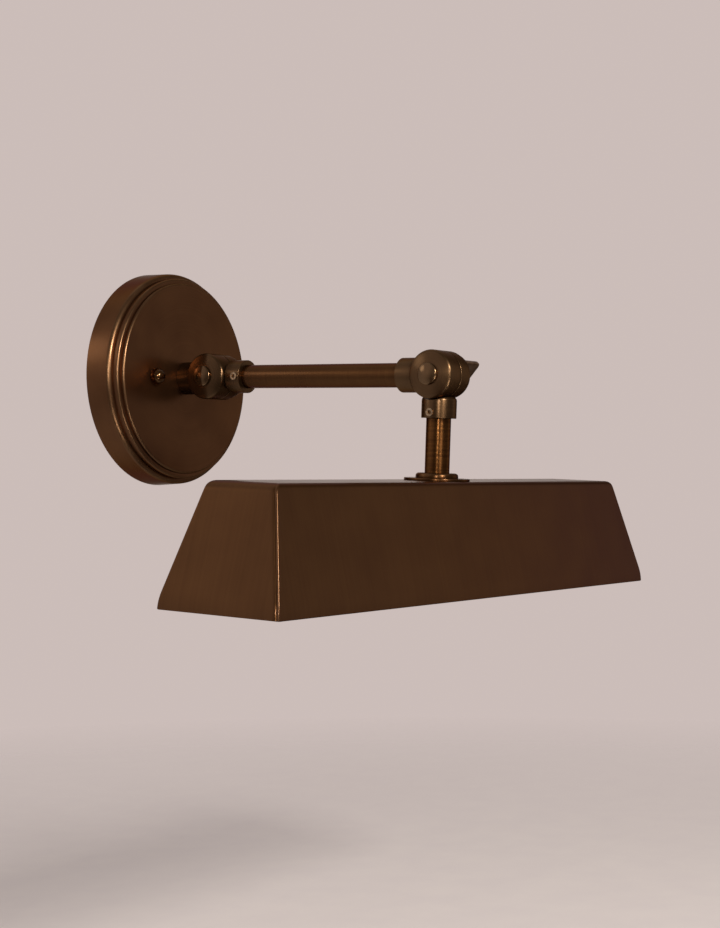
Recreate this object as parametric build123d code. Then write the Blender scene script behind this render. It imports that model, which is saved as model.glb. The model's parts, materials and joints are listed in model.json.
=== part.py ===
from build123d import *
import math
import os

# Swing arm wall sconce. Lengths are in millimetres and angles in degrees.
# The wall is the plane Y = 0, with +Y into the wall, X along it and Z up.
# The origin is the centre of the back plate on the wall.

# Pose at rest
arm_droop = 2.1
shade_lean = 3.0
wall_key_turn = 20.0
shade_key_turn = 49.5

# Clearances
fit = 0.05
play = 0.05

# Back plate
plate_r = 59.4
plate_taper = 0.7
plate_side = 15.4
plate_step_in = 2.8
plate_first_step = 3.6
plate_second_step = 2.0
plate_round = 1.3
plate_wall = 1.2

# Crossbar, studs and ball nuts
bar_half_length = 52.0
bar_width = 18.0
bar_t = 2.0
bar_corner_r = 3.0
tab_width = 30.0
tab_height = 20.0
slot_spacing = 79.4
slot_length = 14.5
slot_r = 2.5
stud_spacing = 56.0
stud_r = 2.0
stud_reach = 5.0
ball_r = 4.2
ball_foot_r = 3.4
ground_x = -14.0
ground_r = 2.0
ground_head_across = 7.0
ground_head_t = 2.8

# Terminal block
block_width = 26.0
block_depth = 11.0
block_height = 14.0
block_above_bar = 3.0
block_round = 1.0
pole_pitch = 7.5
pole_r = 1.7
pole_head_t = 1.0
pole_slot = 0.5
pole_slot_depth = 0.5
pole_depth = 5.5
pole_height = 9.3

# Swivel halves
swivel_r = 12.5
front_disc_t = 10.3
rear_disc_t = 7.4
front_rim_round = 1.6
rear_rim_round = 0.5
crown_r = 38.0
pad_r = 6.1
friction_washer_t = 0.6
friction_washer_width = 2.6
chamber_r = 9.2
chamber_hub_r = 4.6
chamber_depth = 4.4
neck_r = 6.6
neck_offset = 4.2
neck_sink = 0.5

# Collars and set screws
collar_r = 9.0
collar_sink = 1.4
collar_gap = 0.5
collar_length = 11.0
wall_collar_length = 9.8
collar_round = 2.0
collar_socket = 6.6
socket_end_gap = 0.5
set_screw_r = 1.5
set_screw_edge = 2.9
set_head_r = 2.1
set_head_t = 1.3
set_head_sunk = 0.7
set_socket_across = 1.9
set_socket_depth = 0.9

# Swivel bolts, stepped washers and thumb keys
bolt_r = 3.0
button_r = 5.6
button_t = 2.6
button_round = 1.3
cup_r = 11.7
cup_t = 3.95
cup_round = 1.5
key_hub_r = 5.0
key_hub_length = 6.0
key_thread = 5.4
key_blade_length = 11.3
key_blade_width = 20.3
key_blade_t = 2.2
key_corner_r = 2.6
key_shoulder_r = 2.0
key_edge_round = 0.6

# Arm and stem tubes
arm_span = 144.6
tube_r = 6.35
lead_r = 1.2
channel_r = 1.6
channel_x = 2.6
lead_slack = 0.7
lead_bend = 5.0
lead_lean = 1.3
lead_rise = 3.7
lead_grip = 4.7
lead_hole_depth = 7.0

# Threaded nipples, their washers and nuts
nipple_r = 5.0
nipple_bore_r = 4.0
nipple_tail = 3.3
nut_across = 14.0
nut_t = 3.5
nut_washer_r = 9.5
nut_washer_t = 1.0
stem_nipple_grip = 12.0

# Ring and flange at the foot of the stem
shade_drop = 53.8
flange_r = 16.8
flange_t = 1.3
ring_r = 10.9
ring_t = 2.6
ring_round = 1.6

# Shade
shade_top_length = 326.5
shade_top_width = 38.1
shade_bottom_length = 356.4
shade_bottom_width = 66.4
shade_height = 57.4
shade_sheet = 1.0
shade_fold_r = 2.8
shade_corner_r = 1.0

# Lamp bracket, holders and lamps
bracket_half = 15.5
bracket_width = 18.0
bracket_t = 1.5
bracket_below_lamp = 9.0
lamp_drop = 24.2
holder_length = 31.0
holder_r = 12.0
holder_base_lip = 0.8
holder_base_t = 6.0
holder_round = 0.5
holder_floor = 10.0
holder_screw_r = 1.5
holder_screw_grip = 6.0
holder_screw_head_r = 2.8
holder_screw_head_t = 2.2
holder_screw_round = 1.1
holder_lead_up = 6.0
holder_lead_r = 0.6
holder_lead_bend = 5.0
holder_lead_grip = 2.5
cap_r = 6.9
cap_ridge = 0.7
cap_ridges = 6
cap_tip_r = 2.4
cap_tip_t = 3.0
cap_rim_r = 8.2
cap_rim_t = 2.0
glass_r = 12.5
glass_wall = 1.0
glass_neck_length = 9.0
glass_neck_bend = 6.25
glass_length = 98.0
glass_end_r = 9.0

# Places worked out from the sizes above
plate_shoulder_r = plate_r - plate_taper
plate_depth = plate_side + plate_first_step + plate_second_step
collar_start = swivel_r - collar_sink
collar_end = collar_start + collar_length
wall_collar_end = collar_start + wall_collar_length
wall_pivot = plate_depth + wall_collar_end
front_face = friction_washer_t / 2
rear_face = friction_washer_t / 2 + play
tube_bore_r = nipple_r + fit
tube_start = collar_end - collar_socket + socket_end_gap
nipple_outer = wall_pivot - wall_collar_end + collar_socket - socket_end_gap
cup_start = rear_disc_t + play
cup_end = cup_start + cup_t
key_start = cup_end + play
shade_bottom = shade_drop + shade_height
inner_top = shade_drop + shade_sheet
bracket_top = inner_top + nut_washer_t
stem_nut_top = bracket_top + bracket_t
stem_nipple_end = stem_nut_top + nut_t + nipple_tail
stem_end = shade_drop - flange_t
lamp_axis = inner_top + lamp_drop
lead_start = chamber_r - lead_slack

# Placement of the three groups that share a pivot
at_wall = Pos(0, -wall_pivot, 0)
at_arm = at_wall * Rot(arm_droop, 0, 0)
at_arm_end = at_arm * Pos(0, -arm_span, 0)
arm_angle = math.radians(arm_droop)
shade_pivot_y = -wall_pivot - arm_span * math.cos(arm_angle)
shade_pivot_z = -arm_span * math.sin(arm_angle)
at_shade = Pos(0, shade_pivot_y, shade_pivot_z) * Rot(shade_lean, 0, 0)
half_turn = Rot(0, 0, 180)
downward = Rot(90, 0, 0)


def rod_x(radius, start, end):
    return Pos((start + end) / 2, 0, 0) * Rot(0, 90, 0) * Cylinder(radius, end - start)


def rod_y(radius, start, end):
    return Pos(0, (start + end) / 2, 0) * Rot(90, 0, 0) * Cylinder(radius, end - start)


def rod_z(radius, start, end):
    return Pos(0, 0, (start + end) / 2) * Cylinder(radius, end - start)


def block(x_range, y_range, z_range):
    """A box between two values along each axis."""
    size = [high - low for low, high in (x_range, y_range, z_range)]
    middle = [(high + low) / 2 for low, high in (x_range, y_range, z_range)]
    return Pos(*middle) * Box(*size)


def turned_x(points, radii):
    """A piece turned about X from an outline of (x, radius) points."""
    outline = FilletPolyline(*points, radius=radii, close=True)
    return revolve(make_face(outline), Axis.X)


def turned_y(points, radii):
    """A piece turned about Y from an outline of (radius, y) points."""
    outline = FilletPolyline(*points, radius=radii, close=True)
    return revolve(make_face(outline), Axis.Y)


def lead_along(points, radius, bend):
    """A round lead along straight runs that are joined by one arc."""
    path = FilletPolyline(*points, radius=[bend])
    start = Plane(origin=path @ 0, z_dir=path % 0)
    return sweep(start * Circle(radius), path=path)


def straight_lead(start, end, radius):
    """A straight round lead between two points."""
    run = Vector(*end) - Vector(*start)
    return extrude(Plane(origin=start, z_dir=run) * Circle(radius), run.length)


def hexagon(across, thickness):
    """A hexagon prism standing on the XY plane."""
    return extrude(RegularPolygon(across / 2, 6, major_radius=False), thickness)


def plate_dish():
    """A spun dish with two small steps round its flat face."""
    outer = [(0, 0), (plate_r, 0)]
    radii = [0, 0]
    inner = [(0, 0), (plate_r - plate_wall, 0)]
    shoulder_r = plate_shoulder_r
    shoulder_y = -plate_side
    for step_out in (plate_first_step, plate_second_step):
        foot_r = shoulder_r - plate_step_in
        outer += [(shoulder_r, shoulder_y), (foot_r, shoulder_y)]
        radii += [plate_round, 0]
        inside_y = shoulder_y + plate_wall
        inner += [(shoulder_r - plate_wall, inside_y), (foot_r - plate_wall, inside_y)]
        shoulder_r = foot_r
        shoulder_y -= step_out
    outer += [(shoulder_r, -plate_depth), (0, -plate_depth)]
    radii += [plate_round, 0]
    inner += [(shoulder_r - plate_wall, -plate_depth + plate_wall), (0, -plate_depth + plate_wall)]
    dish = turned_y(outer, radii) - turned_y(inner, [0] * len(inner))
    dish -= rod_y(nipple_r + fit, -plate_depth, 0)
    for side in (-1, 1):
        dish -= Pos(side * stud_spacing / 2, 0, 0) * rod_y(stud_r + fit, -plate_depth, 0)
    return dish


def make_back_plate():
    """The dish as its flat face and the stepped rim round it."""
    face_r = plate_shoulder_r - 2 * plate_step_in - plate_round
    core = rod_y(face_r, -plate_depth, 0)
    dish = plate_dish()
    return {"plate_face": dish & core, "plate_rim": dish - core}


def make_crossbar():
    """A flat strap on the wall box, with slots for its screws and a tab for the terminal block."""
    strap = RectangleRounded(2 * bar_half_length, bar_width, bar_corner_r)
    tab_middle = bar_width / 2 + tab_height / 2 - bar_corner_r
    strap += Pos(0, tab_middle) * RectangleRounded(tab_width, tab_height + 2 * bar_corner_r, bar_corner_r)
    for side in (-1, 1):
        strap -= Pos(side * slot_spacing / 2, 0) * SlotOverall(slot_length, 2 * slot_r)
        strap -= Pos(side * stud_spacing / 2, 0) * Circle(stud_r + fit)
    strap -= Pos(ground_x, 0) * Circle(ground_r + fit)
    return extrude(Plane.XZ * strap, bar_t)


def make_plate_studs():
    """Two studs from the crossbar through the plate."""
    stud = rod_y(stud_r, -plate_depth - stud_reach, 0)
    return Compound([Pos(side * stud_spacing / 2, 0, 0) * stud for side in (-1, 1)])


def make_ball_nuts():
    """Two ball nuts that hold the plate on the studs."""
    rise = math.sqrt(ball_r ** 2 - ball_foot_r ** 2)
    ball = Pos(0, -plate_depth - rise, 0) * Sphere(ball_r)
    ball -= block((-ball_r, ball_r), (-plate_depth, ball_r), (-ball_r, ball_r))
    ball -= rod_y(stud_r + fit, -plate_depth - stud_reach - fit, 0)
    return Compound([Pos(side * stud_spacing / 2, 0, 0) * ball for side in (-1, 1)])


def make_ground_screw():
    """A hexagon-headed screw in the crossbar."""
    head = Plane.XZ.offset(bar_t) * hexagon(ground_head_across, ground_head_t)
    return Pos(ground_x, 0, 0) * (head + rod_y(ground_r, -bar_t, 0))


def terminal_foot():
    """Height of the underside of the terminal block."""
    return bar_width / 2 + block_above_bar


def make_terminal_block():
    """A three-pole terminal block on the crossbar's tab."""
    foot = terminal_foot()
    body = block(
        (-block_width / 2, block_width / 2),
        (-bar_t - block_depth, -bar_t),
        (foot, foot + block_height),
    )
    body = fillet(body.edges().filter_by(Axis.Y), block_round)
    body -= Pos(-lead_lean, -bar_t - lead_rise, 0) * rod_z(lead_r + fit, foot, foot + lead_hole_depth)
    front = -bar_t - block_depth
    for pole in (-1, 0, 1):
        hole = rod_y(pole_r + fit, front, front + pole_depth)
        body -= Pos(pole * pole_pitch, 0, foot + pole_height) * hole
    return body


def make_terminal_screws():
    """Three slotted screws on the front of the terminal block."""
    front = -bar_t - block_depth
    top = front - pole_head_t
    screw = rod_y(pole_r, top, front + pole_depth)
    screw -= block((-pole_r, pole_r), (top, top + pole_slot_depth), (-pole_slot / 2, pole_slot / 2))
    height = terminal_foot() + pole_height
    return Compound([Pos(pole * pole_pitch, 0, height) * screw for pole in (-1, 0, 1)])


def make_plate_lead():
    """The lead from the wall swivel through the nipple to the terminal block."""
    start = (-channel_x, -wall_pivot + lead_start, 0)
    corner = (-lead_lean, -bar_t - lead_rise, 0)
    end = (-lead_lean, -bar_t - lead_rise, terminal_foot() + lead_grip)
    return lead_along([start, corner, end], lead_r, lead_bend)


def make_nipple(length):
    """A threaded tube that stands on the XY plane."""
    return rod_z(nipple_r, 0, length) - rod_z(nipple_bore_r, 0, length)


def make_nut():
    """A thin nut for the threaded tubes."""
    return hexagon(nut_across, nut_t) - rod_z(nipple_r + fit, 0, nut_t)


def make_nut_washer():
    """A flat washer under a nut."""
    return rod_z(nut_washer_r, 0, nut_washer_t) - rod_z(nipple_r + fit, 0, nut_washer_t)


def crown_at(radius):
    """How far the crowned face of a front half stands out at a radius."""
    return math.sqrt(crown_r ** 2 - radius ** 2) - math.sqrt(crown_r ** 2 - swivel_r ** 2)


def rim_corner(outline):
    """The corner of a half's outline that is farthest from the washer and the axis."""
    return outline.vertices().group_by(Axis.Y)[-1].sort_by(Axis.X)[-1]


def front_disc():
    """The round front half of a swivel, with a crowned face and a flat pad for the bolt head."""
    pad = front_disc_t + crown_at(pad_r)
    middle_r = (swivel_r + pad_r) / 2
    middle = (front_disc_t + crown_at(middle_r), middle_r)
    crown = ThreePointArc((front_disc_t, swivel_r), middle, (pad, pad_r))
    back = [(front_face, 0), (front_face, swivel_r), (front_disc_t, swivel_r)]
    sides = Polyline((pad, pad_r), (pad, 0), *back)
    outline = make_face(Curve() + [sides, crown])
    outline = fillet(rim_corner(outline), front_rim_round)
    return revolve(outline, Axis.X) - rod_x(bolt_r + fit, front_face, pad)


def rear_disc():
    """The plain round rear half of a swivel."""
    points = [(rear_face, 0), (rear_face, swivel_r), (rear_disc_t, swivel_r), (rear_disc_t, 0)]
    return turned_x(points, [0, 0, rear_rim_round, 0]) - rod_x(bolt_r + fit, rear_face, rear_disc_t)


def swivel_half(disc, inner, outer, rim_round, socket_r, length):
    """A disc on the +X side with a lead chamber, and a collar along -Y with a socket and a set screw hole.

    Beside its own disc the collar is cut back round, so that it clears the other disc and the stepped washer.
    """
    end = collar_start + length
    floor = end - collar_socket
    chamber = rod_x(chamber_r, inner, inner + chamber_depth)
    chamber -= rod_x(chamber_hub_r, inner, inner + chamber_depth)
    points = [(0, -collar_start), (collar_r, -collar_start), (collar_r, -end), (0, -end)]
    collar = turned_y(points, [0, collar_round, 0, 0])
    for start, stop in ((-collar_r, inner), (outer, outer + collar_r)):
        collar -= rod_x(swivel_r + collar_gap, start, stop)
    neck = Pos(neck_offset, 0, 0) * rod_y(neck_r, -collar_start - collar_round, -chamber_r - neck_sink)
    neck &= block((inner, outer - rim_round), (-end, 0), (-collar_r, collar_r))
    half = disc - chamber + collar + neck
    half -= rod_y(socket_r + fit, -end, -floor)
    half -= Pos(channel_x, 0, 0) * rod_y(channel_r, -floor, -chamber_hub_r - lead_slack)
    screw_hole = rod_x(set_screw_r + fit, -collar_r, 0)
    screw_hole += rod_x(set_head_r + fit, -collar_r, -collar_r + set_head_sunk)
    return half - Pos(0, set_screw_edge - end, 0) * screw_hole


def front_half(socket_r, length):
    half = swivel_half(front_disc(), front_face, front_disc_t, front_rim_round, socket_r, length)
    return half_turn * half


def rear_half(socket_r, length):
    return swivel_half(rear_disc(), rear_face, rear_disc_t, rear_rim_round, socket_r, length)


def set_screw(socket_r, length):
    """A set screw with a hexagon socket, on the -X side of a collar along -Y."""
    seat = -collar_r + set_head_sunk
    top = seat - set_head_t
    screw = rod_x(set_head_r, top, seat) + rod_x(set_screw_r, seat, -socket_r - fit)
    screw -= Pos(top, 0, 0) * Rot(0, 90, 0) * hexagon(set_socket_across, set_socket_depth)
    return Pos(0, set_screw_edge - collar_start - length, 0) * screw


def make_friction_washer():
    """A thin ring between the two halves of a swivel."""
    outer_r = chamber_r + friction_washer_width
    return rod_x(outer_r, -front_face, front_face) - rod_x(chamber_r, -front_face, front_face)


def make_swivel_bolt():
    """A domed bolt through both halves of a swivel, with its head on the -X side."""
    seat = -front_disc_t - crown_at(pad_r)
    end = key_start + key_thread
    top = seat - button_t
    points = [(seat, 0), (seat, button_r), (top, button_r), (top, 0)]
    head = turned_x(points, [0, 0, button_round, 0])
    return head + rod_x(bolt_r, seat, end)


def make_cup_washer():
    """The stepped washer between the rear half and the thumb key."""
    bore = bolt_r + fit
    points = [(cup_start, bore), (cup_start, cup_r), (cup_end, cup_r), (cup_end, bore)]
    return turned_x(points, [0, 0, cup_round, 0])


def make_thumb_key():
    """A flat blade on a round hub, lying level along X."""
    hub_end = key_start + key_hub_length
    hub = rod_x(key_hub_r, key_start, hub_end)
    blade_start = key_start + key_edge_round
    blade_end = hub_end + key_blade_length
    outline = Rectangle(blade_end - blade_start, key_blade_width)
    outline = fillet(outline.vertices().group_by(Axis.X)[-1], key_corner_r)
    outline = fillet(outline.vertices().group_by(Axis.X)[0], key_shoulder_r)
    blade = extrude(outline, key_blade_t / 2, both=True)
    rims = blade.faces().sort_by(Axis.Z)[0].edges() + blade.faces().sort_by(Axis.Z)[-1].edges()
    blade = fillet(rims, key_edge_round)
    key = hub + Pos((blade_start + blade_end) / 2, 0, 0) * blade
    return key - rod_x(bolt_r + fit, key_start, key_start + key_thread + fit)


def make_tube(length):
    """A plain tube that stands on the XY plane."""
    return rod_z(tube_r, 0, length) - rod_z(tube_bore_r, 0, length)


def make_arm_tube():
    length = arm_span - 2 * tube_start
    return Pos(0, -tube_start, 0) * Rot(90, 0, 0) * make_tube(length)


def make_arm_lead():
    start = (channel_x, -lead_start, 0)
    end = (-channel_x, -arm_span + lead_start, 0)
    return straight_lead(start, end, lead_r)


def make_stem():
    return Pos(0, 0, -stem_end) * make_tube(stem_end - tube_start)


def make_stem_nipple():
    length = stem_nipple_end - stem_end + stem_nipple_grip
    return Pos(0, 0, -stem_nipple_end) * make_nipple(length)


def make_stem_ring():
    """The rounded ring round the foot of the stem."""
    bore = tube_r + fit
    points = [(bore, 0), (ring_r, 0), (ring_r, ring_t), (bore, ring_t)]
    outline = FilletPolyline(*points, radius=[0, 0, ring_round, 0], close=True)
    ring = revolve(Plane.XZ * make_face(outline), Axis.Z)
    return Pos(0, 0, -stem_end) * ring


def make_stem_flange():
    plate = rod_z(flange_r, 0, flange_t) - rod_z(nipple_r + fit, 0, flange_t)
    return Pos(0, 0, -shade_drop) * plate


def shade_length(depth):
    """Outside length of the shade at a depth."""
    return shade_top_length + (shade_bottom_length - shade_top_length) * (depth - shade_drop) / shade_height


def shade_width(depth):
    """Outside width of the shade at a depth."""
    return shade_top_width + (shade_bottom_width - shade_top_width) * (depth - shade_drop) / shade_height


def shade_inset():
    """Level thickness of the sloping sheet."""
    slope = math.atan2((shade_bottom_width - shade_top_width) / 2, shade_height)
    return shade_sheet / math.cos(slope)


def shade_form(top, bottom, inset):
    """The four-sided form of the shade between two depths, taken in by an inset on every side."""
    ends = []
    for depth in (top, bottom):
        outline = Rectangle(shade_length(depth) - 2 * inset, shade_width(depth) - 2 * inset)
        ends.append(Plane.XY.offset(-depth) * outline)
    return loft(ends)


def fold_depth():
    """Depth under the top at which the folds have run into the flat sides, by the least slope of a side."""
    widening = min(shade_bottom_length - shade_top_length, shade_bottom_width - shade_top_width) / 2
    share = 1 - math.sin(math.atan2(widening, shade_height))
    inner_fold = shade_sheet + (shade_fold_r - shade_sheet) * share
    return max(shade_fold_r * share, inner_fold) + fit


def between_ends():
    """The space between the inner faces of the shade's two ends, wider than the shade."""
    outlines = []
    for depth in (shade_drop, shade_bottom):
        outline = Rectangle(shade_length(depth) - 2 * shade_inset(), 2 * shade_bottom_width)
        outlines.append(Plane.XY.offset(-depth) * outline)
    return loft(outlines)


def shade_shell():
    """An open-bottomed sheet trough with folded top edges and soldered corners."""
    form = shade_form(shade_drop, shade_bottom, 0)
    form = fillet(form.faces().sort_by(Axis.Z)[-1].edges(), shade_fold_r)
    corners = [edge for edge in form.edges() if edge.bounding_box().size.Z > shade_height / 2]
    form = fillet(corners, shade_corner_r)
    hollow = shade_form(inner_top, shade_bottom + shade_sheet, shade_inset())
    hollow = fillet(hollow.faces().sort_by(Axis.Z)[-1].edges(), shade_fold_r - shade_sheet)
    return form - hollow - rod_z(nipple_r + fit, -inner_top, -shade_drop)


def make_shade():
    """The shade as its folded top, two long sides and two ends."""
    shell = shade_shell()
    reach = (-shade_bottom_length, shade_bottom_length)
    above = block(reach, reach, (-shade_drop - fold_depth(), 0))
    walls = shell - above
    middle = between_ends()
    front, rear = (walls & middle).solids().sort_by(Axis.Y)
    left, right = (walls - middle).solids().sort_by(Axis.X)
    return {
        "shade_top": shell & above,
        "shade_front": front,
        "shade_rear": rear,
        "shade_left_end": left,
        "shade_right_end": right,
    }


def make_lamp_bracket():
    """A strap bent down at both ends, under the nut of the stem."""
    half_width = bracket_width / 2
    foot = -lamp_axis - bracket_below_lamp
    across = (-half_width, half_width)
    strap = block((-bracket_half, bracket_half), across, (foot, -bracket_top))
    inside = bracket_half - bracket_t
    strap -= block((-inside, inside), across, (foot, -stem_nut_top))
    strap -= rod_z(nipple_r + fit, -stem_nut_top, -bracket_top)
    strap -= Pos(0, 0, -lamp_axis) * rod_x(holder_screw_r + fit, -bracket_half, bracket_half)
    lead_hole = rod_x(holder_lead_r + play, -bracket_half, bracket_half)
    return strap - Pos(0, 0, -lamp_axis + holder_lead_up) * lead_hole


def make_lampholder():
    """A lampholder along +X from the bracket, on the lamp's own axis."""
    start = bracket_half
    end = start + holder_length
    step = start + holder_base_t
    base_r = holder_r + holder_base_lip
    points = [(start, 0), (start, base_r), (step, base_r)]
    points += [(step, holder_r), (end, holder_r), (end, 0)]
    body = turned_x(points, [0, holder_round, holder_round, 0, holder_round, 0])
    body -= rod_x(cap_r + 2 * play, start + holder_floor, end)
    body -= rod_x(holder_screw_r + fit, start, start + holder_screw_grip)
    lead_hole = rod_x(holder_lead_r + play, start, start + holder_lead_grip)
    return body - Pos(0, 0, holder_lead_up) * lead_hole


def make_holder_screw():
    """A pan-headed screw from inside the bracket into a lampholder."""
    seat = bracket_half - bracket_t
    head = [(seat, 0), (seat, holder_screw_head_r), (seat - holder_screw_head_t, holder_screw_head_r)]
    head.append((seat - holder_screw_head_t, 0))
    screw = turned_x(head, [0, 0, holder_screw_round, 0])
    return screw + rod_x(holder_screw_r, seat, bracket_half + holder_screw_grip)


def cap_seat():
    """Where the rim of a lamp cap meets its glass."""
    return bracket_half + holder_length + play + cap_rim_t


def make_lamp_cap():
    """A ridged screw cap, its tip on the floor of the lampholder."""
    tip = bracket_half + holder_floor
    shell = tip + cap_tip_t
    mouth = bracket_half + holder_length + play
    points = [(tip, 0), (tip, cap_tip_r), (shell, cap_r - cap_ridge)]
    pitch = (mouth - shell) / (cap_ridges + 1)
    for ridge in range(cap_ridges):
        foot = shell + pitch * ridge + pitch / 2
        points += [(foot, cap_r - cap_ridge), (foot + pitch / 2, cap_r)]
    points += [(mouth, cap_r - cap_ridge), (mouth, cap_rim_r), (cap_seat(), cap_rim_r), (cap_seat(), 0)]
    return turned_x(points, [0] * len(points))


def glass_outline(inset):
    """Outline of the lamp's glass, taken in by an inset."""
    start = cap_seat()
    end = start + glass_length - inset
    throat_r = cap_rim_r - glass_wall - inset
    return [
        (start, 0),
        (start, throat_r),
        (start + glass_neck_length, glass_r - inset),
        (end, glass_r - inset),
        (end, 0),
    ]


def make_lamp_glass():
    """A thin tubular glass with a rounded end, open at its neck."""
    outer = turned_x(glass_outline(0), [0, 0, glass_neck_bend, glass_end_r, 0])
    inner = turned_x(glass_outline(glass_wall), [0, 0, glass_neck_bend, glass_end_r - glass_wall, 0])
    return outer - inner


def make_stem_lead():
    return Pos(channel_x, 0, 0) * rod_z(lead_r, -stem_nipple_end, -lead_start)


def make_holder_leads():
    """Two cores from the end of the stem's lead to the two lampholders."""
    leads = []
    for side in (-1, 1):
        x = channel_x + side * (holder_lead_r + play)
        height = -lamp_axis + holder_lead_up
        start = (x, 0, -stem_nipple_end)
        corner = (x, 0, height)
        end = (side * (bracket_half + holder_lead_grip), 0, height)
        leads.append(lead_along([start, corner, end], holder_lead_r, holder_lead_bend))
    return Compound(leads)


def wall_pieces():
    """Everything that is fixed to the wall."""
    into_plate = Rot(-90, 0, 0)
    nipple_inner = plate_depth - plate_wall - nut_washer_t - nut_t - nipple_tail
    inside_face = Pos(0, -plate_depth + plate_wall, 0) * into_plate
    under_washer = inside_face * Pos(0, 0, nut_washer_t)
    return {
        **make_back_plate(),
        "crossbar": make_crossbar(),
        "plate_studs": make_plate_studs(),
        "ball_nuts": make_ball_nuts(),
        "ground_screw": make_ground_screw(),
        "terminal_block": make_terminal_block(),
        "terminal_screws": make_terminal_screws(),
        "plate_lead": make_plate_lead(),
        "plate_nipple": Pos(0, -nipple_outer, 0) * into_plate * make_nipple(nipple_outer - nipple_inner),
        "plate_nipple_washer": inside_face * make_nut_washer(),
        "plate_nipple_nut": under_washer * make_nut(),
        "wall_swivel": at_wall * front_half(nipple_r, wall_collar_length),
        "wall_swivel_screw": at_wall * half_turn * set_screw(nipple_r, wall_collar_length),
        "wall_swivel_bolt": at_wall * make_swivel_bolt(),
        "wall_friction_washer": at_wall * make_friction_washer(),
        "wall_cup_washer": at_wall * make_cup_washer(),
    }


def arm_pieces():
    """Everything that moves with the arm."""
    outer = at_arm_end * half_turn
    return {
        "arm_inner_swivel": at_arm * rear_half(tube_r, collar_length),
        "arm_inner_screw": at_arm * set_screw(tube_r, collar_length),
        "arm_tube": at_arm * make_arm_tube(),
        "arm_lead": at_arm * make_arm_lead(),
        "arm_outer_swivel": at_arm_end * front_half(tube_r, collar_length),
        "arm_outer_screw": outer * set_screw(tube_r, collar_length),
        "shade_swivel_bolt": at_arm_end * make_swivel_bolt(),
        "shade_friction_washer": at_arm_end * make_friction_washer(),
        "shade_cup_washer": at_arm_end * make_cup_washer(),
    }


def shade_pieces():
    """Everything that moves with the shade."""
    lamp_height = Pos(0, 0, -lamp_axis)
    pieces = {
        "shade_swivel": downward * rear_half(tube_r, collar_length),
        "shade_swivel_screw": downward * set_screw(tube_r, collar_length),
        "stem": make_stem(),
        "stem_lead": make_stem_lead(),
        "stem_ring": make_stem_ring(),
        "stem_flange": make_stem_flange(),
        "stem_nipple": make_stem_nipple(),
        **make_shade(),
        "shade_washer": Pos(0, 0, -bracket_top) * make_nut_washer(),
        "lamp_bracket": make_lamp_bracket(),
        "stem_nipple_nut": Pos(0, 0, -stem_nut_top - nut_t) * make_nut(),
        "lampholder_leads": make_holder_leads(),
    }
    screws = []
    for side, turn in (("right", Rot(0, 0, 0)), ("left", half_turn)):
        place = lamp_height * turn
        pieces["lampholder_" + side] = place * make_lampholder()
        pieces["lamp_cap_" + side] = place * make_lamp_cap()
        pieces["lamp_glass_" + side] = place * make_lamp_glass()
        screws.append(place * make_holder_screw())
    pieces["lampholder_screws"] = Compound(screws)
    return {name: at_shade * piece for name, piece in pieces.items()}


def key_pieces():
    """The two thumb keys, each on the bolt of its swivel."""
    key = make_thumb_key()
    return {
        "wall_key": at_wall * Rot(-wall_key_turn, 0, 0) * key,
        "shade_key": at_arm_end * Rot(-shade_key_turn, 0, 0) * key,
    }


os.makedirs("parts", exist_ok=True)
nodes = {**wall_pieces(), **arm_pieces(), **shade_pieces(), **key_pieces()}
for name, piece in nodes.items():
    export_step(piece, "parts/" + name + ".step")
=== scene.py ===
import json
import math

import bmesh
import bpy
from mathutils import Matrix, Vector


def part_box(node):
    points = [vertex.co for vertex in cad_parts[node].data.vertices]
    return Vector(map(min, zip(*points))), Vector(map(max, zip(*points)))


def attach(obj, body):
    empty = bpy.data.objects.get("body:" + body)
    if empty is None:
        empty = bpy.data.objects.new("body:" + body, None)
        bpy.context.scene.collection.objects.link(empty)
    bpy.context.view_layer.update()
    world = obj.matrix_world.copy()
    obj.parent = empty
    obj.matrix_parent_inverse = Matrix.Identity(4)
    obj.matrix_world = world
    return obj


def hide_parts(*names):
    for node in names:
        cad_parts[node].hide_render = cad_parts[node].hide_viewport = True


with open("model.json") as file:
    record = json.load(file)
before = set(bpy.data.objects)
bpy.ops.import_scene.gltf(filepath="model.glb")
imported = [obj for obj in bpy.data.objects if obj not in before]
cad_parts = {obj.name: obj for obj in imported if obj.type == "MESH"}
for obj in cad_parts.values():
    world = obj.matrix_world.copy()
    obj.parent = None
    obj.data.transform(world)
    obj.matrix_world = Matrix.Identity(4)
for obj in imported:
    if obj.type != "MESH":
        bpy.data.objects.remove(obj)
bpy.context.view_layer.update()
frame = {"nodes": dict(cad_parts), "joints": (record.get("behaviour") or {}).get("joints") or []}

MM = 0.001

# Angles of the solids at rest, in degrees
arm_droop = 2.1
shade_lean = 3.0

# Forms that the solids have too, in millimetres
arm_span = 144.6
fit = 0.05

plate_r = 59.4
plate_shoulder_r = 58.7
plate_side = 15.4
plate_step_in = 2.8
plate_first_step = 3.6
plate_round = 1.3
plate_wall = 1.2
plate_depth = 21.0
stud_spacing = 56.0
stud_r = 2.0
stud_reach = 5.0
ball_r = 4.2
ball_foot_r = 3.4
pole_head_r = 1.7

swivel_r = 12.5
front_face = 0.3
front_disc_t = 10.3
front_rim_round = 1.6
rear_face = 0.35
rear_disc_t = 7.4
rear_rim_round = 0.5
crown_r = 38.0
pad_r = 6.1

collar_r = 9.0
collar_start = 11.1
collar_room_r = 13.0
collar_end = 22.1
wall_collar_end = 20.9
collar_round = 2.0
collar_socket = 6.6
set_screw_edge = 2.9
set_head_r = 2.1
set_head_t = 1.3
set_head_rise = 0.6
set_socket_across = 1.9
set_socket_depth = 0.9

button_r = 5.6
button_t = 2.6
bolt_r = 3.0
bolt_end = 16.85
cup_start = 7.45
cup_end = 11.4
cup_r = 11.7
cup_round = 1.5

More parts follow.
